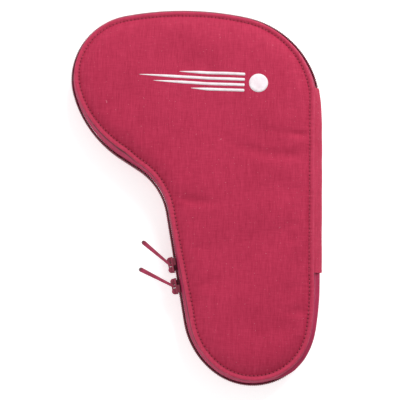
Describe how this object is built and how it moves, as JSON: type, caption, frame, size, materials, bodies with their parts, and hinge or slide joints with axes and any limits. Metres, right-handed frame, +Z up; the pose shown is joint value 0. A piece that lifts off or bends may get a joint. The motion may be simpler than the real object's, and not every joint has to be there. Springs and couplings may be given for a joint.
{
  "type": "table tennis paddle case",
  "caption": "Bat-shaped padded case for a table tennis paddle: two soft shells that hinge on a fabric spine and close with a coil zip run by twin sliders.",
  "frame": {"origin": "centre of the closed case's bounding box, on the plane of the back shell's flat face that it lies on, without the pullers, which stay inside that box", "axes": "+Z up through the front shell, +Y from the handle end to the blade's top, +X towards the spine, which runs along Y"},
  "size_m": [0.2058, 0.3026, 0.0362],
  "materials": {
    "canvas": "plain-woven polyester canvas, soft sheen",
    "foam": null,
    "lining": "plain nylon lining",
    "binding": "woven edge binding",
    "zip_tape": "herringbone zip tape",
    "coil": "nylon coil, slight gloss",
    "thread": "twisted polyester thread",
    "print": "screen-printed ink",
    "slider_paint": "enamel over die-cast metal",
    "spring_steel": "bright spring steel"
  },
  "bodies": {
    "back_shell": {"back_panel": "canvas", "back_foam": "foam", "back_lining": "lining", "back_edge_binding": "binding", "back_zip_tape": "zip_tape", "back_coil": "coil", "back_topstitch": "thread", "back_spine": "canvas", "back_spine_lining": "lining"},
    "front_shell": {"front_panel": "canvas", "front_foam": "foam", "front_lining": "lining", "front_edge_binding": "binding", "front_zip_tape": "zip_tape", "front_coil": "coil", "front_topstitch": "thread", "front_spine": "canvas", "front_spine_lining": "lining", "front_print": "print"},
    "upper_slider": {"upper_slider_body": "slider_paint", "upper_slider_crown": "slider_paint", "upper_slider_spring": "spring_steel"},
    "upper_puller": {"upper_puller": "slider_paint"},
    "lower_slider": {"lower_slider_body": "slider_paint", "lower_slider_crown": "slider_paint", "lower_slider_spring": "spring_steel"},
    "lower_puller": {"lower_puller": "slider_paint"}
  },
  "joints": [
    {"name": "spine_fold", "type": "hinge", "parent": "back_shell", "child": "front_shell", "pos_m": [0.10301, 0.012, 0.018], "axis": [0, 1, 0], "range_deg": [0, 180]},
    {"name": "upper_slider_run", "type": "slide", "parent": "back_shell", "child": "upper_slider", "axis": [-0.1908, 0.9816, 0], "range_m": [0, 0.032]},
    {"name": "lower_slider_run", "type": "slide", "parent": "back_shell", "child": "lower_slider", "axis": [0.1908, -0.9816, 0], "range_m": [0, 0.024]},
    {"name": "upper_puller_swing", "type": "hinge", "parent": "upper_slider", "child": "upper_puller", "pos_m": [-0.01618, -0.05956, 0.018], "axis": [0, 0, -1], "range_deg": [-26, 23]},
    {"name": "lower_puller_swing", "type": "hinge", "parent": "lower_slider", "child": "lower_puller", "pos_m": [-0.01294, -0.07625, 0.018], "axis": [0, 0, -1], "range_deg": [-112, 3]}
  ]
}
